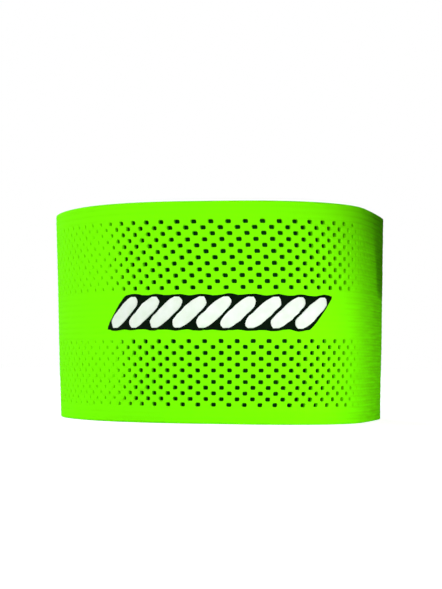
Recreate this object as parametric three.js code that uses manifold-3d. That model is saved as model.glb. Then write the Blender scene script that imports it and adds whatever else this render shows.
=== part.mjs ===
// Knitted captain's armband, standing on its lower edge as an open loop.
// Millimetres, +Z up, the printed front faces -Y, the two soft fold creases lie at -X and +X.
import * as THREE from 'three';
import { mergeVertices } from 'three/addons/utils/BufferGeometryUtils.js';
import Module from 'manifold-3d';

// Loop, measured round its outer face at half height
const bandHeight = 60;
const halfLoop = 172;
const bandWall = 1.1;
const topFlare = 0.027;
const sideLean = 0.9;
const planStep = 4.3;

// Front half from the left crease to the right one: each bend's share of halfLoop and its turn in degrees
const frontBends = [
  { bend: 'left side', share: 0.214, turn: 23 },
  { bend: 'left shoulder', share: 0.223, turn: 48 },
  { bend: 'front', share: 0.086, turn: 2 },
  { bend: 'right shoulder', share: 0.244, turn: 86 },
  { bend: 'right side', share: 0.233, turn: 5 },
];

// Dark inner sleeve, set back from both edges of the band
const liningWall = 0.8;
const liningSetBack = 1.5;
const fitGap = 0.3;

// Eyelets: rows and columns of the knit, two bands of staggered rows, and the part of them that is cut here
const knitRows = 38;
const knitColumns = 78;
const borderRows = 3;
const eyeletRows = 12;
const eyeletWidth = 1.35;
const eyeletHeight = 1.0;
const eyeletCorner = 0.3;
const firstCutRow = 1;
const cutEveryRow = 4;
const cutEveryColumn = 2;
const cutPerRow = 19;
const columnGather = 0.09;
const columnStart = -1.45;
const columnDrift = 8.6;
const columnEase = -6.1;
const columnRipple = 0.9;
const rippleWaves = 5;
const rippleFade = 0.3;
const ripplePhase = 0.365;
const rippleTurn = 0.27;
const rowSlant = 0.66;
const rowSag = 1.1;

// Front print: slanted strands of a rope twist on an outlined ground
const printLength = 69;
const printHeight = 10;
const printShift = -4.4;
const printOutline = 0.8;
const printFilm = 0.3;
const strandCount = 9;
const strandGap = 1.1;
const strandSlant = 0.8;
const strandRoundness = 3.2;
const strandTip = 0.25;
const groundScallop = 0.7;
const strandColumns = 4;
const strandRows = 6;

const finishes = {
  knit: { color: 0x7bfa05, roughness: 0.85, metalness: 0 },
  lining: { color: 0x08140a, roughness: 0.9, metalness: 0 },
  outline: { color: 0x061206, roughness: 0.55, metalness: 0 },
  white: { color: 0xe2ebe0, roughness: 0.5, metalness: 0 },
};

const degrees = Math.PI / 180;

// Points and headings of the front half, walked bend by bend; the chord between the creases lies along X
function walkFront() {
  const stations = [{ s: 0, x: 0, y: 0, heading: 0 }];
  const allShares = frontBends.reduce((sum, { share }) => sum + share, 0);
  for (const { share, turn } of frontBends) {
    const bendLength = (share / allShares) * halfLoop;
    const steps = Math.max(1, Math.round(bendLength / planStep));
    const stride = bendLength / steps;
    const swing = (turn * degrees) / steps;
    for (let i = 0; i < steps; i += 1) {
      const last = stations[stations.length - 1];
      const middle = last.heading + swing / 2;
      stations.push({
        s: last.s + stride,
        x: last.x + stride * Math.cos(middle),
        y: last.y + stride * Math.sin(middle),
        heading: last.heading + swing,
      });
    }
  }
  const end = stations[stations.length - 1];
  const chordAngle = Math.atan2(end.y, end.x);
  return stations.map(({ s, x, y }) => ({
    s,
    x: x * Math.cos(chordAngle) + y * Math.sin(chordAngle),
    y: y * Math.cos(chordAngle) - x * Math.sin(chordAngle),
  }));
}

// The hidden back half is the front half turned half round about the middle of that chord
function closeLoop(front) {
  const chord = front[front.length - 1];
  const back = front.slice(0, -1).map(({ s, x, y }) => ({ s: chord.s + s, x: chord.x - x, y: -y }));
  return [...front.slice(0, -1), ...back].map(({ s, x, y }) => ({ s, x: x - chord.x / 2, y }));
}

const loop = closeLoop(walkFront());
const loopLength = 2 * halfLoop;

// Outward normals: square to the chord of a station's two neighbours, which also splits each crease evenly
const stations = loop.map((station, i) => {
  const before = loop[(i + loop.length - 1) % loop.length];
  const after = loop[(i + 1) % loop.length];
  const span = Math.hypot(after.x - before.x, after.y - before.y);
  return { ...station, nx: (after.y - before.y) / span, ny: (before.x - after.x) / span };
});

// A point of the loop at arc length s, a depth under the outer face and a height
function place(s, depth, z) {
  const turnS = ((s % loopLength) + loopLength) % loopLength;
  let i = stations.findIndex((station, k) => k > 0 && station.s > turnS) - 1;
  if (i < 0) i = stations.length - 1;
  const a = stations[i];
  const b = stations[(i + 1) % stations.length];
  const endS = i + 1 < stations.length ? b.s : loopLength;
  const t = (turnS - a.s) / (endS - a.s);
  const flare = 1 + topFlare * (z / bandHeight - 0.5);
  const x = a.x + (b.x - a.x) * t - (a.nx + (b.nx - a.nx) * t) * depth;
  const y = a.y + (b.y - a.y) * t - (a.ny + (b.ny - a.ny) * t) * depth;
  return new THREE.Vector3(x * flare - sideLean * (z / bandHeight - 0.5), y * flare, z);
}

function toGeometry(points, triangles) {
  const geometry = new THREE.BufferGeometry();
  const flat = points.flatMap((point) => [point.x, point.y, point.z]);
  geometry.setAttribute('position', new THREE.Float32BufferAttribute(flat, 3));
  geometry.setIndex(triangles);
  geometry.computeVertexNormals();
  return geometry;
}

// A sleeve between two depths and two heights, one quad high, with flat rims
function sleeve(depthOuter, depthInner, low, high) {
  const points = [];
  const triangles = [];
  for (const { s } of stations) {
    points.push(place(s, depthOuter, low), place(s, depthOuter, high));
    points.push(place(s, depthInner, high), place(s, depthInner, low));
  }
  const cornerCount = 4;
  const around = stations.length;
  for (let i = 0; i < around; i += 1) {
    for (let c = 0; c < cornerCount; c += 1) {
      const a = i * cornerCount + c;
      const b = i * cornerCount + ((c + 1) % cornerCount);
      const d = ((i + 1) % around) * cornerCount + c;
      const e = ((i + 1) % around) * cornerCount + ((c + 1) % cornerCount);
      triangles.push(a, d, e, a, e, b);
    }
  }
  return toGeometry(points, triangles);
}

// A film over the loop's outer face: a grid of (across, up) cells with sides all round
function film(sAndZ, across, up, depthInner, depthOuter) {
  const points = [];
  const triangles = [];
  const layer = (across + 1) * (up + 1);
  const at = (side, i, j) => side * layer + i * (up + 1) + j;
  for (const depth of [depthOuter, depthInner]) {
    for (let i = 0; i <= across; i += 1) {
      for (let j = 0; j <= up; j += 1) {
        const { s, z } = sAndZ(i / across, j / up);
        points.push(place(s, depth, z));
      }
    }
  }
  const quad = (a, b, c, d) => triangles.push(a, b, c, a, c, d);
  for (let i = 0; i < across; i += 1) {
    for (let j = 0; j < up; j += 1) {
      quad(at(0, i, j), at(0, i + 1, j), at(0, i + 1, j + 1), at(0, i, j + 1));
      quad(at(1, i, j), at(1, i, j + 1), at(1, i + 1, j + 1), at(1, i + 1, j));
    }
    quad(at(0, i, 0), at(1, i, 0), at(1, i + 1, 0), at(0, i + 1, 0));
    quad(at(0, i, up), at(0, i + 1, up), at(1, i + 1, up), at(1, i, up));
  }
  for (let j = 0; j < up; j += 1) {
    quad(at(0, 0, j), at(0, 0, j + 1), at(1, 0, j + 1), at(1, 0, j));
    quad(at(0, across, j), at(1, across, j), at(1, across, j + 1), at(0, across, j + 1));
  }
  return toGeometry(points, triangles);
}

// Where an eyelet of a knit column and row comes to lie in the stretched cloth: the columns draw together
// and drift to the right lower down, with a slow ripple; the rows slant and sag a little between level edges
function eyeletPlace(column, z) {
  const share = z / bandHeight;
  const drop = 1 - share;
  const turn = (2 * Math.PI * column) / knitColumns;
  const gathered = turn - columnGather * drop * Math.sin(turn);
  const slide = columnStart + (columnDrift + columnEase * drop) * drop;
  const wave = Math.sin(rippleWaves * turn + ripplePhase + rippleTurn * drop);
  const ripple = columnRipple * (1 - rippleFade * drop) * wave;
  const s = halfLoop / 2 + slide + ripple + (loopLength * gathered) / (2 * Math.PI);
  return { s, z: z + 4 * share * drop * (rowSlant * Math.sin(turn) - rowSag * drop) };
}

// Rounded-rectangle punch through the wall, square to the face where it stands
function eyeletPunch({ s, z }) {
  const w = eyeletWidth / 2;
  const h = eyeletHeight / 2;
  const c = eyeletCorner;
  const outline = [
    [w, c - h], [w, h - c], [w - c, h], [c - w, h], [-w, h - c], [-w, c - h], [c - w, -h], [w - c, -h],
  ];
  const section = new THREE.Shape(outline.map(([u, v]) => new THREE.Vector2(u, v)));
  const punch = new THREE.ExtrudeGeometry(section, { depth: 3 * bandWall, bevelEnabled: false });
  const face = place(s, -bandWall, z);
  const inward = place(s, 2 * bandWall, z).sub(face).normalize();
  const up = new THREE.Vector3(0, 0, 1);
  const along = new THREE.Vector3().crossVectors(up, inward).normalize();
  const frame = new THREE.Matrix4().makeBasis(along, new THREE.Vector3().crossVectors(inward, along), inward);
  return punch.applyMatrix4(frame.setPosition(face));
}

// The eyelets that are cut: every fourth row of each knit band and every second column, staggered
function eyeletPunches() {
  const rowPitch = bandHeight / knitRows;
  const punches = [];
  for (const start of [borderRows, knitRows - borderRows - eyeletRows]) {
    for (let row = firstCutRow, count = 0; row < eyeletRows; row += cutEveryRow, count += 1) {
      const z = (start + row + 0.5) * rowPitch;
      const stagger = ((row + 1) % 2) / 2 - ((count % 2) * cutEveryColumn) / 2;
      for (let k = 0; k < cutPerRow; k += 1) {
        const column = (k - (cutPerRow - 1) / 2) * cutEveryColumn + stagger;
        punches.push(eyeletPunch(eyeletPlace(column, z)));
      }
    }
  }
  return punches;
}

const wasm = await Module();
wasm.setup();

function toSolid(geometry) {
  const bare = geometry.clone();
  bare.deleteAttribute('normal');
  bare.deleteAttribute('uv');
  const merged = mergeVertices(bare);
  return new wasm.Manifold(new wasm.Mesh({
    numProp: 3,
    vertProperties: new Float32Array(merged.attributes.position.array),
    triVerts: new Uint32Array(merged.index.array),
  }));
}

function toBufferGeometry(solid) {
  const mesh = solid.getMesh();
  const geometry = new THREE.BufferGeometry();
  geometry.setAttribute('position', new THREE.BufferAttribute(mesh.vertProperties, 3));
  geometry.setIndex(new THREE.BufferAttribute(mesh.triVerts, 1));
  geometry.computeVertexNormals();
  return geometry;
}

function elasticBand() {
  let band = toSolid(sleeve(0, bandWall, 0, bandHeight));
  for (const punch of eyeletPunches()) band = band.subtract(toSolid(punch));
  return toBufferGeometry(band);
}

function darkLining() {
  const outer = bandWall + fitGap;
  return sleeve(outer, outer + liningWall, liningSetBack, bandHeight - liningSetBack);
}

const printMiddle = halfLoop / 2 + printShift;
const strandPitch = (printLength - 2 * printOutline + strandGap - strandSlant * printHeight) / strandCount;

// The outlined ground dips a little between one strand's tip and the next
function printGround() {
  const run = strandCount * strandPitch - strandGap + 2 * printOutline;
  const across = strandCount * strandColumns;
  const height = (a) => printHeight - (groundScallop * (1 + Math.cos(2 * Math.PI * strandCount * a))) / 2;
  const low = fitGap + printFilm;
  return film((a, b) => {
    const rise = (b - 0.5) * height(a);
    return { s: printMiddle + (a - 0.5) * run + strandSlant * rise, z: bandHeight / 2 + rise };
  }, across, 2, -fitGap, -low);
}

// One strand: a slanted lozenge whose width falls away to a share of itself at its rounded tips
function printStrand(index) {
  const middle = printMiddle + (index - (strandCount - 1) / 2) * strandPitch;
  const height = printHeight - 2 * printOutline;
  const base = 2 * fitGap + printFilm;
  return film((a, b) => {
    const reach = 2 * b - 1;
    const width = (strandPitch - strandGap) * (1 - (1 - strandTip) * Math.abs(reach) ** strandRoundness);
    const rise = (reach * height) / 2;
    return { s: middle + (a - 0.5) * width + strandSlant * rise, z: bandHeight / 2 + rise };
  }, strandColumns, strandRows, -base, -(base + printFilm));
}

function piece(name, geometry, finish) {
  const mesh = new THREE.Mesh(geometry, new THREE.MeshStandardMaterial(finish));
  mesh.name = name;
  return mesh;
}

const armband = new THREE.Group();
armband.add(piece('elastic_band', elasticBand(), finishes.knit));
armband.add(piece('dark_lining', darkLining(), finishes.lining));
armband.add(piece('print_ground', printGround(), finishes.outline));
for (let i = 0; i < strandCount; i += 1) {
  armband.add(piece(`print_strand_${i + 1}`, printStrand(i), finishes.white));
}

// The origin lies on the ground under the middle of the whole box
const middle = new THREE.Box3().setFromObject(armband).getCenter(new THREE.Vector3());
armband.position.set(-middle.x, -middle.y, 0);

export default armband;
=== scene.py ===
import math
import bpy
import numpy as np
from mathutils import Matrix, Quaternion, Vector


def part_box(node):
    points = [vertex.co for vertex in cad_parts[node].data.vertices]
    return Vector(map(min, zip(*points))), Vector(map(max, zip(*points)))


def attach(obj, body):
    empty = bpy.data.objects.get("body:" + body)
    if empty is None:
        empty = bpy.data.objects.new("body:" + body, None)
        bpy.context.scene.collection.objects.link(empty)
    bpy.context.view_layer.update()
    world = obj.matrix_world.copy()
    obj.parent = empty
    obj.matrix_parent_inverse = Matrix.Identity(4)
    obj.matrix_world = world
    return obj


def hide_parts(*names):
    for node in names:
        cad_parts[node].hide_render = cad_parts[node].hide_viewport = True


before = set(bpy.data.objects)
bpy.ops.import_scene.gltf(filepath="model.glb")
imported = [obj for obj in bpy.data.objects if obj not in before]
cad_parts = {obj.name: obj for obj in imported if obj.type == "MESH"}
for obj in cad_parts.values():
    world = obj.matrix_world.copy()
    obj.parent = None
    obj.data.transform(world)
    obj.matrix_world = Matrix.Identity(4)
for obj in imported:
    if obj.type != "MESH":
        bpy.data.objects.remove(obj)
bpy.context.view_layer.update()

bandLow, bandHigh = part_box("elastic_band")
bandHeight = bandHigh[2] - bandLow[2]
print("frame loaded, band height", round(bandHeight * 1000, 1), "mm")

# The loop seen from above, walked from the left fold crease round the printed front; metres and degrees
loopShape = {
    "halfLoop": 0.172,
    "width": 0.0968,
    "topFlare": 0.027,
    "sideLean": 0.0009,
    "step": 0.0005,
    "softness": 0.0035,  # how far one bend blends into the next
    "creaseSoftness": 0.0016,
    "bends": [(0.214, 23), (0.223, 48), (0.086, 2), (0.244, 86), (0.233, 5)],  # share of halfLoop, turn
}
loopLength = 2 * loopShape["halfLoop"]
loopCentre = (
    (bandLow[0] + bandHigh[0] + loopShape["sideLean"]) / 2,
    (bandLow[1] + bandHigh[1]) / 2,
)

# The knit's lattice: every cell is half an eyelet column wide and one rib high
knit = {
    "columns": 78,
    "rows": 38,  # ribs, from edge to edge
    "borderRows": 3,
    "eyeletRows": 12,
    "wall": 0.0011,
    "edgeRound": 0.00025,
    "ribDepth": 0.00006,
    "eyelet": (0.00142, 0.00106),
    "eyeletBack": (0.00136, 0.00118),
    "eyeletCorner": 0.00022,
    "eyeletLip": 0.00012,
    "eyeletSink": 0.0001,
    "lipShade": 0.1,  # how far the painted shade on the hole's walls covers its front ring, and what lies behind it
    "wallShade": 0.4,
    "openShift": -0.0028,
    "openReach": 0.033,  # eyelets are open up to here along the cloth, and fully drawn in from shutReach on
    "shutReach": 0.0425,
    "pinch": 0.7,
    "pinchUp": 0.4,  # the draw from above and below, as a share of that from the sides
    "gather": 0.09,
    "start": -0.00145,
    "drift": 0.0086,
    "ease": -0.0061,
    "ripple": 0.0009,
    "slant": 0.0005,
    "sag": 0.001,
}
cellWidth = loopLength / knit["columns"] / 2
cellHeight = bandHeight / knit["rows"]


# Blurs a ring of values
def blurRing(values, sigma, step):
    reach = np.fft.fftfreq(len(values), d=step)
    return np.fft.ifft(np.fft.fft(values) * np.exp(-2 * (math.pi * sigma * reach) ** 2)).real


def walkLoop():
    # curvature over the front half; the back half repeats it, so the loop closes by itself
    half, step = loopShape["halfLoop"], loopShape["step"]
    count = round(half / step)
    step = half / count
    curvature = np.zeros(count)
    place = 0.0
    for share, turn in loopShape["bends"]:
        first, last = round(place * count), round((place + share) * count)
        curvature[first:last] = math.radians(turn) / ((last - first) * step)
        place += share
    curvature = blurRing(curvature, loopShape["softness"], step)
    crease = np.zeros(count)
    crease[0] = (math.pi - curvature.sum() * step) / step
    curvature = np.tile(curvature + blurRing(crease, loopShape["creaseSoftness"], step), 2)
    heading = np.concatenate([[0.0], np.cumsum(curvature * step)[:-1]]) + curvature * step / 2
    path = np.cumsum(np.stack([np.cos(heading), np.sin(heading)], axis=1) * step, axis=0)
    path = np.vstack([[0.0, 0.0], path[:-1]])
    chord = path[count]
    angle = math.atan2(chord[1], chord[0])
    turned = np.array([[math.cos(angle), -math.sin(angle)], [math.sin(angle), math.cos(angle)]])
    path = (path - chord / 2) @ turned
    return path * [loopShape["width"] / np.ptp(path[:, 0]), 1]


def addObject(name, data):
    added = bpy.data.objects.new(name, data)
    bpy.context.collection.objects.link(added)
    return added


def makeLoopCurve():
    path = walkLoop()
    curve = bpy.data.curves.new("loopPath", "CURVE")
    curve.dimensions = "3D"
    spline = curve.splines.new("POLY")
    spline.points.add(len(path) - 1)
    flat = np.column_stack([path, np.zeros(len(path)), np.ones(len(path))]).astype(np.float32)
    spline.points.foreach_set("co", flat.ravel())
    spline.use_cyclic_u = True
    return addObject("loopPath", curve)


# Small helpers that keep the node trees readable
def addNode(tree, kind, inputs=(), **settings):
    node = tree.nodes.new(kind)
    for key, value in settings.items():
        setattr(node, key, value)
    pairs = inputs.items() if isinstance(inputs, dict) else enumerate(inputs)
    for key, value in pairs:
        if value is None:
            continue
        if isinstance(value, bpy.types.NodeSocket):
            tree.links.new(value, node.inputs[key])
        else:
            node.inputs[key].default_value = value
    return node


def calc(tree, operation, *values):
    return addNode(tree, "ShaderNodeMath", values, operation=operation).outputs[0]


def calcVector(tree, operation, *values):
    return addNode(tree, "ShaderNodeVectorMath", values, operation=operation).outputs[0]


def scaleVector(tree, vector, factor):
    node = addNode(tree, "ShaderNodeVectorMath", {"Vector": vector, "Scale": factor}, operation="SCALE")
    return node.outputs[0]


def addNoise(tree, vector, size, detail):
    return addNode(tree, "ShaderNodeTexNoise", {"Vector": vector, "Scale": size, "Detail": detail}).outputs


# The three axes of the flat cloth, before it is wrapped
def flatAxes(tree):
    place = tree.nodes.new("GeometryNodeInputPosition").outputs[0]
    return addNode(tree, "ShaderNodeSeparateXYZ", [place]).outputs


def newTree(name, sockets):
    tree = bpy.data.node_groups.new(name, "GeometryNodeTree")
    for label, kind, value in sockets:
        socket = tree.interface.new_socket(name=label, in_out="INPUT", socket_type="NodeSocket" + kind)
        if value is not None:
            socket.default_value = value
    tree.interface.new_socket(name="Geometry", in_out="OUTPUT", socket_type="NodeSocketGeometry")
    return tree, tree.nodes.new("NodeGroupInput").outputs


def endTree(tree, geometry):
    tree.links.new(geometry, tree.nodes.new("NodeGroupOutput").inputs[0])


# Runs a tree once and keeps its result as a plain mesh at the origin
def growPiece(name, tree, values):
    host = addObject(name + "Host", bpy.data.meshes.new(name + "Host"))
    modifier = host.modifiers.new("grow", "NODES")
    modifier.node_group = tree
    for item in tree.interface.items_tree:
        if item.in_out == "INPUT" and item.name in values:
            modifier[item.identifier] = values[item.name]
    graph = bpy.context.evaluated_depsgraph_get()
    mesh = bpy.data.meshes.new_from_object(host.evaluated_get(graph), depsgraph=graph)
    bpy.data.objects.remove(host)
    mesh.name = name
    print("grew", name, len(mesh.polygons), "faces")
    return addObject(name, mesh)


def meshObject(name, points, faces):
    mesh = bpy.data.meshes.new(name)
    mesh.from_pydata([tuple(p) for p in points], [], faces)
    mesh.validate()
    return addObject(name, mesh)


# Wraps flat cloth round the loop: x runs along it from the front's middle, y is depth and z height
drape = {
    "swell": 0.00045,
    "swellSize": 28.0,
    "jitter": 0.00022,
    "jitterSize": 420.0,
    "ripples": 5.0,
    "rippleFade": -0.3,
    "ripplePhase": 0.365,
    "rippleTurn": 0.27,
    "jitterIn": 0.4,  # share of the jitter that goes into the cloth
    "frontMiddle": 0.25,  # the front's middle is a quarter round from the left crease
    "weld": 1e-5,
}


def buildWrapTree():
    tree, given = newTree("wrapOnLoop", [
        ("Geometry", "Geometry", None),
        ("Loop", "Object", None),
        ("Length", "Float", loopLength),
        ("Height", "Float", bandHeight),
        ("Gather", "Float", 0.0),
        ("Start", "Float", 0.0),
        ("Drift", "Float", 0.0),
        ("Ease", "Float", 0.0),
        ("Ripple", "Float", 0.0),
        ("Slant", "Float", 0.0),
        ("Sag", "Float", 0.0),
        ("Flare", "Float", loopShape["topFlare"]),
        ("Lean", "Float", loopShape["sideLean"]),
        ("Centre", "Vector", (loopCentre[0], loopCentre[1], bandLow[2])),
        ("Swell", "Float", drape["swell"]),
        ("Jitter", "Float", drape["jitter"]),
    ])
    x, depth, z = flatAxes(tree)
    share = calc(tree, "DIVIDE", z, given["Height"])
    drop = calc(tree, "SUBTRACT", 1.0, share)
    turn = calc(tree, "MULTIPLY", calc(tree, "DIVIDE", x, given["Length"]), 2 * math.pi)
    pull = calc(tree, "MULTIPLY", given["Gather"], drop)
    pull = calc(tree, "MULTIPLY", pull, calc(tree, "SINE", turn))
    gathered = calc(tree, "DIVIDE", calc(tree, "SUBTRACT", turn, pull), 2 * math.pi)
    slide = calc(tree, "MULTIPLY_ADD", given["Ease"], drop, given["Drift"])
    shift = calc(tree, "MULTIPLY_ADD", slide, drop, given["Start"])
    wave = calc(tree, "MULTIPLY_ADD", drop, drape["rippleTurn"], drape["ripplePhase"])
    wave = calc(tree, "SINE", calc(tree, "MULTIPLY_ADD", turn, drape["ripples"], wave))
    fade = calc(tree, "MULTIPLY_ADD", drop, drape["rippleFade"], 1.0)
    wave = calc(tree, "MULTIPLY", wave, calc(tree, "MULTIPLY", fade, given["Ripple"]))
    shift = calc(tree, "DIVIDE", calc(tree, "ADD", shift, wave), given["Length"])
    along = calc(tree, "ADD", calc(tree, "ADD", gathered, shift), drape["frontMiddle"])
    along = calc(tree, "FRACT", along)
    curve = addNode(tree, "GeometryNodeObjectInfo", {"Object": given["Loop"]}).outputs["Geometry"]
    sample = addNode(tree, "GeometryNodeSampleCurve", mode="FACTOR", use_all_curves=True)
    tree.links.new(curve, sample.inputs["Curves"])
    tree.links.new(along, sample.inputs["Factor"])
    spot, tangent = sample.outputs["Position"], sample.outputs["Tangent"]
    outward = calcVector(tree, "NORMALIZE", calcVector(tree, "CROSS_PRODUCT", tangent, (0, 0, 1)))
    upright = addNode(tree, "ShaderNodeCombineXYZ", [None, None, z]).outputs[0]
    where = calcVector(tree, "ADD", spot, upright)
    swell = addNoise(tree, where, drape["swellSize"], 1.0)["Fac"]
    swell = calc(tree, "MULTIPLY", calc(tree, "SUBTRACT", swell, 0.5), given["Swell"])
    fine = addNoise(tree, where, drape["jitterSize"], 0.0)["Color"]
    fine = calcVector(tree, "SUBTRACT", fine, (0.5, 0.5, 0.5))
    fine = addNode(tree, "ShaderNodeSeparateXYZ", [scaleVector(tree, fine, given["Jitter"])])
    fineIn = calc(tree, "MULTIPLY", fine.outputs[1], drape["jitterIn"])
    inward = calc(tree, "ADD", calc(tree, "ADD", depth, swell), fineIn)
    spot = calcVector(tree, "SUBTRACT", spot, scaleVector(tree, outward, inward))
    spot = calcVector(tree, "ADD", spot, scaleVector(tree, tangent, fine.outputs[0]))
    lift = calc(tree, "SUBTRACT", share, 0.5)
    spot = scaleVector(tree, spot, calc(tree, "MULTIPLY_ADD", given["Flare"], lift, 1.0))
    sideways = calc(tree, "MULTIPLY", calc(tree, "MULTIPLY", given["Lean"], lift), -1.0)
    inside = calc(tree, "MULTIPLY", calc(tree, "MULTIPLY", share, drop), 4.0)  # both rims stay level
    sag = calc(tree, "MULTIPLY", given["Sag"], drop)
    sag = calc(tree, "SUBTRACT", calc(tree, "MULTIPLY", given["Slant"], calc(tree, "SINE", turn)), sag)
    height = calc(tree, "MULTIPLY_ADD", calc(tree, "ADD", fine.outputs[2], sag), inside, z)
    rise = addNode(tree, "ShaderNodeCombineXYZ", [sideways, None, height]).outputs[0]
    spot = calcVector(tree, "ADD", calcVector(tree, "ADD", spot, rise), given["Centre"])
    moved = addNode(tree, "GeometryNodeSetPosition", {"Geometry": given["Geometry"], "Position": spot})
    weld = {"Geometry": moved.outputs[0], "Distance": drape["weld"]}
    endTree(tree, addNode(tree, "GeometryNodeMergeByDistance", weld).outputs[0])
    return tree


loopCurve = makeLoopCurve()
wrapTree = buildWrapTree()
print("loop walked,", round(loopLength * 1000), "mm round")


def wrapNode(tree, geometry, **values):
    node = tree.nodes.new("GeometryNodeGroup")
    node.node_tree = wrapTree
    tree.links.new(geometry, node.inputs["Geometry"])
    node.inputs["Loop"].default_value = loopCurve
    for key, value in values.items():
        node.inputs[key].default_value = value
    return node.outputs[0]


# Keeps the flat place of every corner, in metres, as the map that the cloth patterns follow
def placeMap(tree, geometry):
    flat = flatAxes(tree)
    pair = addNode(tree, "ShaderNodeCombineXYZ", [flat[0], flat[2], None]).outputs[0]
    node = addNode(tree, "GeometryNodeStoreNamedAttribute", data_type="FLOAT2", domain="CORNER")
    node.inputs["Name"].default_value = "flatPlace"
    tree.links.new(geometry, node.inputs["Geometry"])
    tree.links.new(pair, node.inputs["Value"])
    return node.outputs[0]


# Knit cells, made flat: x across, z up, y into the cloth
def roundedRing(width, height, corner):
    w, h = width / 2, height / 2
    return [
        (w, corner - h), (w, h - corner), (w - corner, h), (corner - w, h),
        (-w, h - corner), (-w, corner - h), (corner - w, -h), (w - corner, -h),
    ]


def cellBorder():
    w, h, dip = cellWidth / 2, cellHeight / 2, knit["ribDepth"]
    right = [(w, dip, -h), (w, 0, 0), (w, dip, h), (0, dip, h)]
    return right + [(-w, dip, h), (-w, 0, 0), (-w, dip, -h), (0, dip, -h)]


def cellBack():
    w, h = cellWidth / 2, cellHeight / 2
    return [(w, knit["wall"], -h), (w, knit["wall"], h), (-w, knit["wall"], h), (-w, knit["wall"], -h)]


def plainCell():
    points = cellBorder() + [(0, 0, 0)] + cellBack()
    faces = [(i, (i + 1) % 8, 8) for i in range(8)]
    return meshObject("plainCell", points, faces + [(12, 11, 10, 9)])


def eyeletCell():
    width, height = knit["eyelet"]
    lip, corner, wall = knit["eyeletLip"], knit["eyeletCorner"], knit["wall"]
    points = cellBorder()
    points += [(x, 0.0, z) for x, z in roundedRing(width + 2 * lip, height + 2 * lip, corner + lip)]
    points += [(x, knit["eyeletSink"], z) for x, z in roundedRing(width, height, corner)]
    points += [(x, wall, z) for x, z in roundedRing(*knit["eyeletBack"], corner)]
    points += cellBack()
    faces = []
    for i in range(8):
        j = (i + 1) % 8
        faces.append((8 + i, 8 + j, 16 + j, 16 + i))
        faces.append((16 + i, 16 + j, 24 + j, 24 + i))
    faces += [(0, 1, 9, 8), (1, 2, 9), (2, 10, 9), (2, 3, 10), (3, 4, 11, 10), (4, 12, 11)]
    faces += [(4, 5, 12), (5, 6, 13, 12), (6, 14, 13), (6, 7, 14), (7, 0, 15, 14), (0, 8, 15)]
    faces += [(32, 24, 25, 33), (33, 25, 26), (33, 26, 27, 34), (34, 27, 28)]
    faces += [(34, 28, 29, 35), (35, 29, 30), (35, 30, 31, 32), (32, 31, 24)]
    cell = meshObject("eyeletCell", points, faces)
    pinch = cell.data.attributes.new("pinch", "FLOAT_VECTOR", "POINT")
    for index in range(8, 32):  # the three rings of the hole
        pinch.data[index].vector = (-points[index][0], 0, -knit["pinchUp"] * points[index][2])
    holeShadeMask = cell.data.attributes.new("holeShadeMask", "FLOAT", "POINT")
    for index in range(16, len(points)):  # painted shade on the front ring of the hole itself, then on all behind it
        holeShadeMask.data[index].value = knit["lipShade"] if index < 24 else knit["wallShade"]
    return cell


# A short length of rounded selvedge; side is 1 for the upper rim and -1 for the lower one
def rimCell(name, side):
    w, steps = cellWidth / 2, 6
    middle, half = (knit["wall"] + knit["ribDepth"]) / 2, (knit["wall"] - knit["ribDepth"]) / 2
    points = [(0, knit["ribDepth"], 0)]
    for step in range(steps + 1):
        bend = math.pi * step / steps
        depth, z = middle - half * math.cos(bend), side * knit["edgeRound"] * math.sin(bend)
        points += [(-w, depth, z), (w, depth, z)]
    faces = [(1, 0, 2, 4, 3)] + [(1 + 2 * i, 2 + 2 * i, 4 + 2 * i, 3 + 2 * i) for i in range(1, steps)]
    return meshObject(name, points, faces if side > 0 else [face[::-1] for face in faces])


def joinParts(tree, *parts):
    joined = tree.nodes.new("GeometryNodeJoinGeometry")
    for part in parts:
        tree.links.new(part, joined.inputs[0])
    return addNode(tree, "GeometryNodeRealizeInstances", {"Geometry": joined.outputs[0]}).outputs[0]


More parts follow.
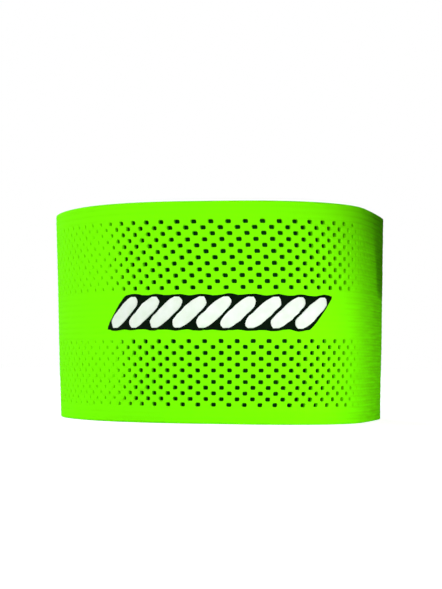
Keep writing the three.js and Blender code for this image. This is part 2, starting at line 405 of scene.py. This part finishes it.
def buildBandTree(material):
    tree, given = newTree("knitBand", [
        ("Plain", "Object", None),
        ("Eyelet", "Object", None),
        ("Upper Rim", "Object", None),
        ("Lower Rim", "Object", None),
        ("Columns", "Int", 2 * knit["columns"]),
        ("Rows", "Int", knit["rows"]),
        ("Border Rows", "Int", knit["borderRows"]),
        ("Eyelet Rows", "Int", knit["eyeletRows"]),
        ("Cell Width", "Float", cellWidth),
        ("Cell Height", "Float", cellHeight),
        ("Edge", "Float", knit["edgeRound"]),
        ("Open Shift", "Float", knit["openShift"]),
        ("Open Reach", "Float", knit["openReach"]),
        ("Shut Reach", "Float", knit["shutReach"]),
        ("Pinch", "Float", knit["pinch"]),
    ])

    def cellPoints(rows, lift, shift=0.0):
        index = tree.nodes.new("GeometryNodeInputIndex").outputs[0]
        column = calc(tree, "FLOOR", calc(tree, "DIVIDE", index, rows))
        row = calc(tree, "SUBTRACT", index, calc(tree, "MULTIPLY", column, rows))
        centred = calc(tree, "SUBTRACT", column, calc(tree, "DIVIDE", given["Columns"], 2.0))
        x = calc(tree, "MULTIPLY", centred, given["Cell Width"])
        z = calc(tree, "MULTIPLY_ADD", calc(tree, "ADD", row, lift), given["Cell Height"], shift)
        spot = addNode(tree, "ShaderNodeCombineXYZ", [x, None, z]).outputs[0]
        count = calc(tree, "MULTIPLY", given["Columns"], rows)
        points = addNode(tree, "GeometryNodePoints", {"Count": count, "Position": spot}).outputs[0]
        return points, column, row

    def cellsAt(points, cell, where=None):
        node = tree.nodes.new("GeometryNodeInstanceOnPoints")
        source = addNode(tree, "GeometryNodeObjectInfo", {"Object": given[cell]})
        tree.links.new(points, node.inputs["Points"])
        tree.links.new(source.outputs["Geometry"], node.inputs["Instance"])
        if where is not None:
            tree.links.new(where, node.inputs["Selection"])
        return node.outputs[0]

    points, column, row = cellPoints(given["Rows"], 0.5)
    mirrored = calc(tree, "SUBTRACT", calc(tree, "SUBTRACT", given["Rows"], 1.0), row)
    fromEdge = calc(tree, "MINIMUM", row, mirrored)
    eyeletEnd = calc(tree, "ADD", given["Border Rows"], given["Eyelet Rows"])
    pastBorder = calc(tree, "GREATER_THAN", fromEdge, calc(tree, "SUBTRACT", given["Border Rows"], 0.5))
    beforeMiddle = calc(tree, "LESS_THAN", fromEdge, calc(tree, "SUBTRACT", eyeletEnd, 0.5))
    staggered = calc(tree, "LESS_THAN", calc(tree, "MODULO", calc(tree, "ADD", column, row), 2.0), 0.5)
    pierced = calc(tree, "MULTIPLY", calc(tree, "MULTIPLY", pastBorder, beforeMiddle), staggered)
    plain = calc(tree, "SUBTRACT", 1.0, pierced)
    cloth = joinParts(tree, cellsAt(points, "Eyelet", pierced), cellsAt(points, "Plain", plain))
    # the outermost cells end where the rounded rims begin
    rimLine = calc(tree, "SUBTRACT", bandHeight, given["Edge"])
    x, depth, z = flatAxes(tree)
    held = calc(tree, "MAXIMUM", calc(tree, "MINIMUM", z, rimLine), given["Edge"])
    held = addNode(tree, "ShaderNodeCombineXYZ", [x, depth, held]).outputs[0]
    cloth = addNode(tree, "GeometryNodeSetPosition", {"Geometry": cloth, "Position": held}).outputs[0]
    upper = cellPoints(1.0, given["Rows"], calc(tree, "MULTIPLY", given["Edge"], -1.0))[0]
    lower = cellPoints(1.0, 0.0, given["Edge"])[0]
    real = joinParts(tree, cloth, cellsAt(upper, "Upper Rim"), cellsAt(lower, "Lower Rim"))
    # eyelets are drawn in where the cloth is less stretched, away from the front
    aside = calc(tree, "ABSOLUTE", calc(tree, "ADD", x, given["Open Shift"]))
    reach = {"Value": aside, "From Min": given["Open Reach"], "From Max": given["Shut Reach"]}
    reach["To Max"] = given["Pinch"]
    shut = addNode(tree, "ShaderNodeMapRange", reach).outputs[0]
    pinch = addNode(tree, "GeometryNodeInputNamedAttribute", {"Name": "pinch"}, data_type="FLOAT_VECTOR")
    drawn = {"Geometry": real, "Offset": scaleVector(tree, pinch.outputs[0], shut)}
    real = addNode(tree, "GeometryNodeSetPosition", drawn).outputs[0]
    names = ("Gather", "Start", "Drift", "Ease", "Ripple", "Slant", "Sag")
    lattice = {name: knit[name.lower()] for name in names}
    finishPiece(tree, wrapNode(tree, placeMap(tree, real), **lattice), material)
    return tree


def finishPiece(tree, geometry, material):
    smooth = addNode(tree, "GeometryNodeSetShadeSmooth", {"Geometry": geometry}).outputs[0]
    dressed = addNode(tree, "GeometryNodeSetMaterial", {"Geometry": smooth, "Material": material})
    endTree(tree, dressed.outputs[0])


# The dark inner sleeve, a closed strip of short lengths; its near-black is painted shade, standing in for
# the shade seen through the eyelets
lining = {
    "depth": 0.0014,
    "wall": 0.0008,
    "setBack": 0.0015,
    "lengths": 172,
    "rows": 8,
    "round": 0.0003,
    "roundIn": 0.4,  # how far its edges are drawn in, as a share of "round"
}


def liningCell():
    w = loopLength / lining["lengths"] / 2
    low, high = lining["setBack"] + lining["round"], bandHeight - lining["setBack"] - lining["round"]
    outer, inner = lining["depth"], lining["depth"] + lining["wall"]
    bend, pull = lining["round"], lining["roundIn"] * lining["round"]
    profile = [(outer, low + (high - low) * i / lining["rows"]) for i in range(lining["rows"] + 1)]
    profile += [(outer + pull, high + bend), (inner - pull, high + bend)]
    profile += [(inner, high - (high - low) * i / lining["rows"]) for i in range(lining["rows"] + 1)]
    profile += [(inner - pull, low - bend), (outer + pull, low - bend)]
    points = [(x, depth, z) for depth, z in profile for x in (-w, w)]
    count = len(profile)
    faces = []
    for i in range(count):
        j = (i + 1) % count
        faces.append((2 * i, 2 * i + 1, 2 * j + 1, 2 * j))
    return meshObject("liningCell", points, faces)


def buildLiningTree(material):
    tree, given = newTree("liningSleeve", [
        ("Cell", "Object", None),
        ("Lengths", "Int", lining["lengths"]),
        ("Length", "Float", loopLength),
    ])
    index = tree.nodes.new("GeometryNodeInputIndex").outputs[0]
    centred = calc(tree, "SUBTRACT", index, calc(tree, "DIVIDE", given["Lengths"], 2.0))
    x = calc(tree, "MULTIPLY", centred, calc(tree, "DIVIDE", given["Length"], given["Lengths"]))
    spot = addNode(tree, "ShaderNodeCombineXYZ", [x]).outputs[0]
    points = addNode(tree, "GeometryNodePoints", {"Count": given["Lengths"], "Position": spot}).outputs[0]
    cell = addNode(tree, "GeometryNodeObjectInfo", {"Object": given["Cell"]}).outputs["Geometry"]
    placed = addNode(tree, "GeometryNodeInstanceOnPoints", {"Points": points, "Instance": cell}).outputs[0]
    real = addNode(tree, "GeometryNodeRealizeInstances", {"Geometry": placed}).outputs[0]
    finishPiece(tree, wrapNode(tree, placeMap(tree, real), Jitter=0.0), material)
    return tree


# The front print: a rope twist of slanted strands on an outlined ground, pressed onto the knit
rope = {
    "length": 0.069,
    "height": 0.01,
    "shift": -0.0044,
    "outline": 0.0008,
    "strands": 9,
    "gap": 0.0011,
    "slant": 0.8,
    "roundness": 3.2,
    "tip": 0.25,
    "scallop": 0.0007,
    "bow": 0.00035,
    "across": 10,
    "up": 40,
    "telegraph": 0.000025,  # how far the ribs show through the film
    "wobble": 0.00007,
    "groundFilm": (-0.00012, 0.00016),  # outer and inner face, from the knit's crests
    "strandFilm": (-0.00021, -0.0001),
    "filmEdge": 0.00004,
    "groundSteps": 12,  # across one strand
    "cornerAlong": 40,  # powers and size of the ground's softened corners
    "cornerUp": 5,
    "cornerSize": 0.8,
    "groundSeed": 5,
    "strandSeed": 11,
}
ropePitch = (
    rope["length"] - 2 * rope["outline"] + rope["gap"] - rope["slant"] * rope["height"]
) / rope["strands"]


# A soft uneven line of the given count of points, as a printed edge has
def wobble(rng, count):
    rough = np.convolve(rng.standard_normal(count + 4), np.ones(5) / 5, mode="valid")
    return rough * 2 * rope["wobble"]


# A closed film from place(i, j), which gives x and z; its face follows the ribs under it
def filmPatch(place, across, up, outer, inner):
    points, faces = [], []
    layer = (across + 1) * (up + 1)
    for side in (0, 1):
        for i in range(across + 1):
            for j in range(up + 1):
                x, z = place(i, j)
                rib = rope["telegraph"] * math.cos(2 * math.pi * z / cellHeight)
                drop = rope["filmEdge"] if i in (0, across) or j in (0, up) else 0.0
                points.append((x, inner if side else outer + rib + drop, z))

    def at(side, i, j):
        return side * layer + i * (up + 1) + j

    for i in range(across):
        for j in range(up):
            faces.append((at(0, i, j), at(0, i + 1, j), at(0, i + 1, j + 1), at(0, i, j + 1)))
            faces.append((at(1, i, j), at(1, i, j + 1), at(1, i + 1, j + 1), at(1, i + 1, j)))
        faces.append((at(0, i, 0), at(1, i, 0), at(1, i + 1, 0), at(0, i + 1, 0)))
        faces.append((at(0, i, up), at(0, i + 1, up), at(1, i + 1, up), at(1, i, up)))
    for j in range(up):
        faces.append((at(0, 0, j), at(0, 0, j + 1), at(1, 0, j + 1), at(1, 0, j)))
        faces.append((at(0, across, j), at(1, across, j), at(1, across, j + 1), at(0, across, j + 1)))
    return points, faces


def ropeGround():
    rng = np.random.default_rng(rope["groundSeed"])
    across, up = rope["strands"] * rope["groundSteps"], rope["up"]
    run = rope["strands"] * ropePitch - rope["gap"] + 2 * rope["outline"]
    edges = [wobble(rng, across + 1), wobble(rng, across + 1)]

    def place(i, j):
        a, b = i / across, j / up
        dip = rope["scallop"] * (1 + math.cos(2 * math.pi * rope["strands"] * a)) / 2
        reach = 2 * b - 1
        rise = reach * (rope["height"] - dip) / 2
        z = rise + (edges[0][i] * b + edges[1][i] * (1 - b)) * abs(reach)
        corner = abs(2 * a - 1) ** rope["cornerAlong"] * abs(reach) ** rope["cornerUp"]
        end = corner * rope["outline"] * rope["cornerSize"]
        x = rope["shift"] + (a - 0.5) * run + rope["slant"] * rise - math.copysign(end, a - 0.5)
        return x, bandHeight / 2 + z

    points, faces = filmPatch(place, across, up, *rope["groundFilm"])
    return meshObject("ropeGroundFlat", points, faces)


def ropeStrands():
    rng = np.random.default_rng(rope["strandSeed"])
    points, faces = [], []
    across, up = rope["across"], rope["up"]
    height = rope["height"] - 2 * rope["outline"]
    for strand in range(rope["strands"]):
        middle = rope["shift"] + (strand - (rope["strands"] - 1) / 2) * ropePitch
        sides = [wobble(rng, up + 1), wobble(rng, up + 1)]

        def place(i, j):
            a, reach = i / across, 2 * j / up - 1
            narrow = 1 - (1 - rope["tip"]) * abs(reach) ** rope["roundness"]
            rise = reach * height / 2
            bow = rope["bow"] * math.sin(math.pi * reach)
            edge = sides[0][j] * a + sides[1][j] * (1 - a)
            x = middle + (a - 0.5) * (ropePitch - rope["gap"]) * narrow + rope["slant"] * rise + bow + edge
            return x, bandHeight / 2 + rise

        more, moreFaces = filmPatch(place, across, up, *rope["strandFilm"])
        faces += [tuple(corner + len(points) for corner in face) for face in moreFaces]
        points += more
    return meshObject("ropeStrandsFlat", points, faces)


def buildPrintTree(name, material):
    tree, given = newTree(name, [("Flat", "Object", None)])
    flat = addNode(tree, "GeometryNodeObjectInfo", {"Object": given["Flat"]}).outputs["Geometry"]
    finishPiece(tree, wrapNode(tree, placeMap(tree, flat)), material)
    return tree


# Materials, all patterned by the flat place of the cloth; a noise's size is counted per metre
weave = {
    "stitchLean": 0.9,
    "fuzzSize": 2600.0,
    "patchSize": 55.0,
    "noiseDetail": 3.0,
    "ribHeight": 0.5,
    "stitchHeight": 0.3,
    "fuzzHeight": 0.2,
    "ribLight": 0.45,
    "stitchLight": 0.2,
    "fuzzLight": 0.25,
    "sheenRoughness": 0.5,
    "streakSize": 1100.0,
    "streakDetail": 2.0,
    "streakLength": 0.07,
    "streakRange": (0.65, 0.35),
    "streakShade": 0.55,
    "grooveShade": 0.12,
    "narrowRibShade": 0.15,
}
film = {
    "patchSize": 320.0,
    "patchDetail": 4.0,
    "patchRange": (0.3, 0.7),
    "ribHeight": 0.4,
    "stitchHeight": 0.3,
    "relief": 0.00004,
}


def makeMaterial(name, settings):
    material = bpy.data.materials.new(name)
    material.use_nodes = True
    tree = material.node_tree
    shader = tree.nodes["Principled BSDF"]
    for key, value in settings.items():
        shader.inputs[key].default_value = value
    return material, tree, shader


# Rib and stitch waves, each from 0 in the groove to 1 on the crest
def knitPattern(tree, acrossPitch, upPitch):
    flat = addNode(tree, "ShaderNodeUVMap", uv_map="flatPlace").outputs[0]
    split = addNode(tree, "ShaderNodeSeparateXYZ", [flat])
    across = calc(tree, "DIVIDE", split.outputs[0], acrossPitch)
    up = calc(tree, "DIVIDE", split.outputs[1], upPitch)
    ribTurn = calc(tree, "MULTIPLY", calc(tree, "SUBTRACT", up, 0.5), 2 * math.pi)
    rib = calc(tree, "MULTIPLY_ADD", calc(tree, "COSINE", ribTurn), 0.5, 0.5)
    lean = calc(tree, "MULTIPLY", calc(tree, "SINE", ribTurn), weave["stitchLean"])
    stitchTurn = calc(tree, "MULTIPLY_ADD", across, 2 * math.pi, lean)
    stitch = calc(tree, "MULTIPLY_ADD", calc(tree, "COSINE", stitchTurn), 0.5, 0.5)
    return flat, rib, stitch


def mixColour(tree, factor, first, second):
    colours = {0: factor, 6: first, 7: second}
    return addNode(tree, "ShaderNodeMix", colours, data_type="RGBA").outputs[2]


def mapRange(tree, value, first, last, low=0.0, high=1.0):
    reach = {"Value": value, "From Min": first, "From Max": last, "To Min": low, "To Max": high}
    return addNode(tree, "ShaderNodeMapRange", reach).outputs[0]


def addBump(tree, shader, height, distance, strength):
    bump = addNode(tree, "ShaderNodeBump", {"Strength": strength, "Distance": distance, "Height": height})
    tree.links.new(bump.outputs[0], shader.inputs["Normal"])


def clothMaterial(name, cloth):
    material, tree, shader = makeMaterial(name, {
        "Roughness": cloth["roughness"],
        "Specular IOR Level": cloth["specular"],
        "Specular Tint": cloth["crest"],
        "Sheen Weight": cloth["sheen"],
        "Sheen Roughness": weave["sheenRoughness"],
        "Sheen Tint": cloth["crest"],
    })
    flat, rib, stitch = knitPattern(tree, cloth["stitch"], cellHeight)
    fuzz = addNoise(tree, flat, weave["fuzzSize"], weave["noiseDetail"])["Fac"]
    patch = addNoise(tree, flat, weave["patchSize"], weave["noiseDetail"])["Fac"]
    height = calc(tree, "MULTIPLY", stitch, weave["stitchHeight"])
    height = calc(tree, "MULTIPLY_ADD", rib, weave["ribHeight"], height)
    height = calc(tree, "MULTIPLY_ADD", fuzz, weave["fuzzHeight"], height)
    # painted shade in the grooves of ribs and stitches, lighter on their crests, plus random mottle of the
    # yarn
    litAndMottle = calc(tree, "MULTIPLY", stitch, weave["stitchLight"])
    litAndMottle = calc(tree, "MULTIPLY_ADD", rib, weave["ribLight"], litAndMottle)
    mottle = calc(tree, "MULTIPLY", calc(tree, "ADD", fuzz, patch), weave["fuzzLight"])
    litAndMottle = addNode(tree, "ShaderNodeClamp", [calc(tree, "ADD", litAndMottle, mottle)]).outputs[0]
    colour = mixColour(tree, litAndMottle, cloth["groove"], cloth["crest"])
    # painted shade towards the folds, past the stretched front: darker between the ribs and in streaks,
    # where the light falls off round the sides; the same mask makes the bump livelier where the cloth is
    # slack
    x, z = addNode(tree, "ShaderNodeSeparateXYZ", [flat]).outputs[:2]
    aside = calc(tree, "ABSOLUTE", calc(tree, "SUBTRACT", x, cloth["tautMiddle"]))
    shadeAndSlack = mapRange(tree, aside, *cloth["shadeAndSlackReach"])
    along = calc(tree, "MULTIPLY", x, weave["streakLength"])
    long = addNode(tree, "ShaderNodeCombineXYZ", [along, z]).outputs[0]
    streak = addNoise(tree, long, weave["streakSize"], weave["streakDetail"])["Fac"]
    streak = mapRange(tree, streak, *weave["streakRange"], high=weave["streakShade"])
    narrow = calc(tree, "COSINE", calc(tree, "MULTIPLY", z, 4 * math.pi / cellHeight))  # two to a rib
    narrow = calc(tree, "MULTIPLY_ADD", narrow, weave["narrowRibShade"], weave["narrowRibShade"])
    shade = calc(tree, "MULTIPLY_ADD", calc(tree, "SUBTRACT", 1.0, rib), weave["grooveShade"], streak)
    shade = calc(tree, "MULTIPLY", calc(tree, "ADD", shade, narrow), shadeAndSlack)
    colour = mixColour(tree, shade, colour, cloth["paintedFoldShade"])
    # painted shade inside the eyelets, mixed in by the hole's shade mask
    if "paintedHoleShade" in cloth:
        holeShadeMask = addNode(tree, "ShaderNodeAttribute", attribute_name="holeShadeMask").outputs["Fac"]
        colour = mixColour(tree, holeShadeMask, colour, cloth["paintedHoleShade"])
    tree.links.new(colour, shader.inputs["Base Color"])
    calm, lively = cloth["bump"]
    strength = calc(tree, "MULTIPLY_ADD", shadeAndSlack, lively - calm, calm)
    addBump(tree, shader, height, cloth["relief"], strength)
    return material


def printMaterial(name, ink):
    settings = {"Roughness": ink["roughness"], "Specular IOR Level": ink["specular"]}
    material, tree, shader = makeMaterial(name, settings)
    flat, rib, stitch = knitPattern(tree, cellWidth / 3, cellHeight)
    patch = addNoise(tree, flat, film["patchSize"], film["patchDetail"])["Fac"]
    patch = mapRange(tree, patch, *film["patchRange"])
    tree.links.new(mixColour(tree, patch, ink["dull"], ink["clean"]), shader.inputs["Base Color"])
    height = calc(tree, "MULTIPLY_ADD", stitch, film["stitchHeight"], patch)
    height = calc(tree, "MULTIPLY_ADD", rib, film["ribHeight"], height)
    addBump(tree, shader, height, film["relief"], ink["bump"])
    return material


neonCloth = {
    "crest": (0.19, 0.95, 0.0015, 1),
    # painted shade: the grooves' darker colour
    "groove": (0.175, 0.90, 0.0012, 1),
    "stitch": cellWidth / 3,
    "roughness": 0.9,
    "specular": 0.02,
    "sheen": 0.05,
    "relief": 0.0003,
    "bump": (0.2, 0.6),  # taut, slack
    # painted shade towards the folds: the colour the cloth darkens to there
    "paintedFoldShade": (0.135, 0.67, 0.001, 1),
    "paintedHoleShade": (0.006, 0.07, 0.003, 1),  # painted shade on the walls of the eyelets
    "tautMiddle": -0.02,
    "shadeAndSlackReach": (0.047, 0.086),
}
# painted shade: the lining's near-black stands in for the shade inside the loop, seen through the eyelets
liningShadeCloth = {
    "crest": (0.004, 0.050, 0.006, 1),
    "groove": (0.002, 0.030, 0.004, 1),
    "stitch": cellWidth / 3,
    "roughness": 0.9,
    "specular": 0.15,
    "sheen": 0.02,
    "relief": 0.0003,
    "bump": (0.5, 0.5),
    # painted shade towards the folds: the colour the lining darkens to there
    "paintedFoldShade": (0.002, 0.025, 0.003, 1),
    "tautMiddle": -0.02,
    "shadeAndSlackReach": (0.048, 0.062),
}
blackInk = {
    "clean": (0.0006, 0.0040, 0.0008, 1),
    "dull": (0.0012, 0.0060, 0.0014, 1),
    "roughness": 0.7,
    "specular": 0.03,
    "bump": 0.35,
}
whiteInk = {
    "clean": (0.76, 0.81, 0.76, 1),
    "dull": (0.68, 0.77, 0.66, 1),
    "roughness": 0.7,
    "specular": 0.1,
    "bump": 0.35,
}
materials = {
    "neon": clothMaterial("neonKnit", neonCloth),
    "dark": clothMaterial("liningPaintedShade", liningShadeCloth),
    "black": printMaterial("blackPrint", blackInk),
    "white": printMaterial("whitePrint", whiteInk),
}
print("materials made")

scratch = [plainCell(), eyeletCell(), rimCell("upperRim", 1), rimCell("lowerRim", -1)]
band = growPiece("knitBand", buildBandTree(materials["neon"]), {
    "Plain": scratch[0], "Eyelet": scratch[1], "Upper Rim": scratch[2], "Lower Rim": scratch[3],
})
scratch.append(liningCell())
sleeve = growPiece("liningSleeve", buildLiningTree(materials["dark"]), {"Cell": scratch[-1]})
scratch += [ropeGround(), ropeStrands()]
ground = growPiece("ropeGround", buildPrintTree("ropeGround", materials["black"]), {"Flat": scratch[-2]})
strands = growPiece("ropeStrands", buildPrintTree("ropeStrands", materials["white"]), {"Flat": scratch[-1]})
for helper in scratch + [loopCurve]:
    bpy.data.objects.remove(helper)

strandNodes = [f"print_strand_{index + 1}" for index in range(rope["strands"])]
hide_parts("elastic_band")
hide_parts("dark_lining")
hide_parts("print_ground")
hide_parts(*strandNodes)
slots = ((band, "neon_knit"), (sleeve, "dark_knit"), (ground, "print_black"), (strands, "print_white"))
for piece, slot in slots:
    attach(piece, "root")
print("pieces placed on the frame")


# Studio: a pale floor, three broad soft lights, three spots and a dark card; azimuth 0 is the front
studio = {
    "floor": 8.0,
    "worldSeen": 1.0,  # the air and the floor look whiter to the camera than the light they give
    "worldLight": 0.03,
    "floorColour": (0.55, 0.55, 0.55, 1),
    "floorRoughness": 0.9,
    "floorSpecular": 0.1,
    "floorGlow": (0.90, 1.0),
    "glowReach": (0.08, 0.35),
    "panels": [  # name, azimuth, elevation, distance, size, power
        ("front", -15, 20, 1.5, 0.9, 4.0),
        ("left", -85, 12, 1.5, 0.9, 19.5),
        ("back", 205, 30, 1.5, 0.9, 10.0),
    ],
    "spotDistance": 0.6,
    "spotSoftness": 0.05,
    "spots": [  # name, azimuth, elevation, point aimed at, cone, power
        ("lowRight", 52, 2, (0.036, -0.036, -0.026), 12.5, 25.2),
        ("highRight", 25, 5, (0.012, -0.056, 0.040), 8.5, 16.0),
        ("highFront", -10, 8, (0.022, -0.054, 0.036), 9.0, 11.7),
    ],
    "flag": {  # a dark card, unseen by the camera, that keeps the low spot off the right fold's upper end
        "spot": "lowRight",
        "shades": (0.0475, -0.008, 0.045),
        "away": 0.04,
        "corners": [(-0.003, -0.006), (0.120, -0.012), (0.120, 0.040), (-0.027, 0.040)],
        "colour": (0.02, 0.02, 0.02, 1),
    },
}


def makeFloor():
    half = studio["floor"] / 2
    corners = [(-half, -half, 0), (half, -half, 0), (half, half, 0), (-half, half, 0)]
    floor = meshObject("floor", corners, [(0, 1, 2, 3)])
    material, tree, shader = makeMaterial("floorPaper", {
        "Base Color": studio["floorColour"],
        "Roughness": studio["floorRoughness"],
        "Specular IOR Level": studio["floorSpecular"],
    })
    spot = tree.nodes.new("ShaderNodeTexCoord").outputs["Object"]
    away = addNode(tree, "ShaderNodeVectorMath", [spot], operation="LENGTH").outputs["Value"]
    strength = mapRange(tree, away, *studio["glowReach"], *studio["floorGlow"])
    glow = addNode(tree, "ShaderNodeEmission", {"Color": (1, 1, 1, 1), "Strength": strength})
    seen = addNode(tree, "ShaderNodeAddShader", [shader.outputs[0], glow.outputs[0]])
    ray = tree.nodes.new("ShaderNodeLightPath").outputs["Is Camera Ray"]
    mix = addNode(tree, "ShaderNodeMixShader", [ray, shader.outputs[0], seen.outputs[0]])
    tree.links.new(mix.outputs[0], tree.nodes["Material Output"].inputs["Surface"])
    floor.data.materials.append(material)


def makeWorld():
    world = bpy.data.worlds.new("studioAir")
    bpy.context.scene.world = world
    world.use_nodes = True
    tree = world.node_tree
    tree.nodes.clear()
    light = addNode(tree, "ShaderNodeBackground", {"Color": (1, 1, 1, 1), "Strength": studio["worldLight"]})
    seen = addNode(tree, "ShaderNodeBackground", {"Color": (1, 1, 1, 1), "Strength": studio["worldSeen"]})
    ray = tree.nodes.new("ShaderNodeLightPath").outputs["Is Camera Ray"]
    mix = addNode(tree, "ShaderNodeMixShader", [ray, light.outputs[0], seen.outputs[0]])
    tree.links.new(mix.outputs[0], tree.nodes.new("ShaderNodeOutputWorld").inputs["Surface"])


def aimBack(azimuth, elevation):
    a, e = math.radians(azimuth), math.radians(elevation)
    return Vector((math.sin(a) * math.cos(e), -math.cos(a) * math.cos(e), math.sin(e)))


def placeLight(name, kind, target, azimuth, elevation, distance, settings):
    back = aimBack(azimuth, elevation)
    data = bpy.data.lights.new(name, kind)
    for key, value in settings.items():
        setattr(data, key, value)
    light = addObject(name, data)
    light.location = Vector(target) + back * distance
    light.rotation_mode = "QUATERNION"
    light.rotation_quaternion = back.to_track_quat("Z", "Y")
    light.visible_camera = False


def makeLights():
    middle = (0, 0, bandHeight / 2)
    for name, azimuth, elevation, distance, size, power in studio["panels"]:
        settings = {"shape": "DISK", "size": size, "energy": power}
        placeLight(name, "AREA", middle, azimuth, elevation, distance, settings)
    for name, azimuth, elevation, aim, cone, power in studio["spots"]:
        settings = {"energy": power, "spot_size": math.radians(cone), "spot_blend": 1.0}
        settings["shadow_soft_size"] = studio["spotSoftness"]
        placeLight(name, "SPOT", aim, azimuth, elevation, studio["spotDistance"], settings)


def makeFlag():
    flag = studio["flag"]
    azimuth, elevation, aim = next(row[1:4] for row in studio["spots"] if row[0] == flag["spot"])
    shaded = Vector(flag["shades"])
    spot = Vector(aim) + aimBack(azimuth, elevation) * studio["spotDistance"]
    toSpot = (spot - shaded).normalized()
    middle = shaded + toSpot * flag["away"]
    across = Vector((-toSpot.y, toSpot.x, 0)).normalized()
    corners = [tuple(middle + across * x + Vector((0, 0, z))) for x, z in flag["corners"]]
    card = meshObject("flag", corners, [(0, 1, 2, 3)])
    settings = {"Base Color": flag["colour"], "Roughness": 1.0}
    card.data.materials.append(makeMaterial("flagCloth", settings)[0])
    card.visible_camera = False


shot = {
    "spot": (0.01118, -0.55419, 0.0165),
    "heading": -1.09,
    "pitch": 2.11,
    "roll": 0.51,
    "lens": 113.07,
    "sensor": 36,
    "clip": (0.01, 50),
}


def makeCamera():
    data = bpy.data.cameras.new("camera")
    data.sensor_width = shot["sensor"]
    data.lens = shot["lens"]
    data.clip_start, data.clip_end = shot["clip"]
    data.dof.use_dof = False
    camera = addObject("camera", data)
    a, e = math.radians(shot["heading"]), math.radians(shot["pitch"])
    ahead = Vector((math.sin(a) * math.cos(e), math.cos(a) * math.cos(e), math.sin(e)))
    camera.location = shot["spot"]
    camera.rotation_mode = "QUATERNION"
    level = ahead.to_track_quat("-Z", "Y")
    camera.rotation_quaternion = level @ Quaternion((0, 0, 1), math.radians(shot["roll"]))
    bpy.context.scene.camera = camera


makeFloor()
makeWorld()
makeLights()
makeFlag()
makeCamera()
bpy.context.scene.view_settings.view_transform = "Standard"
bpy.context.scene.view_settings.look = "None"
print("studio set")
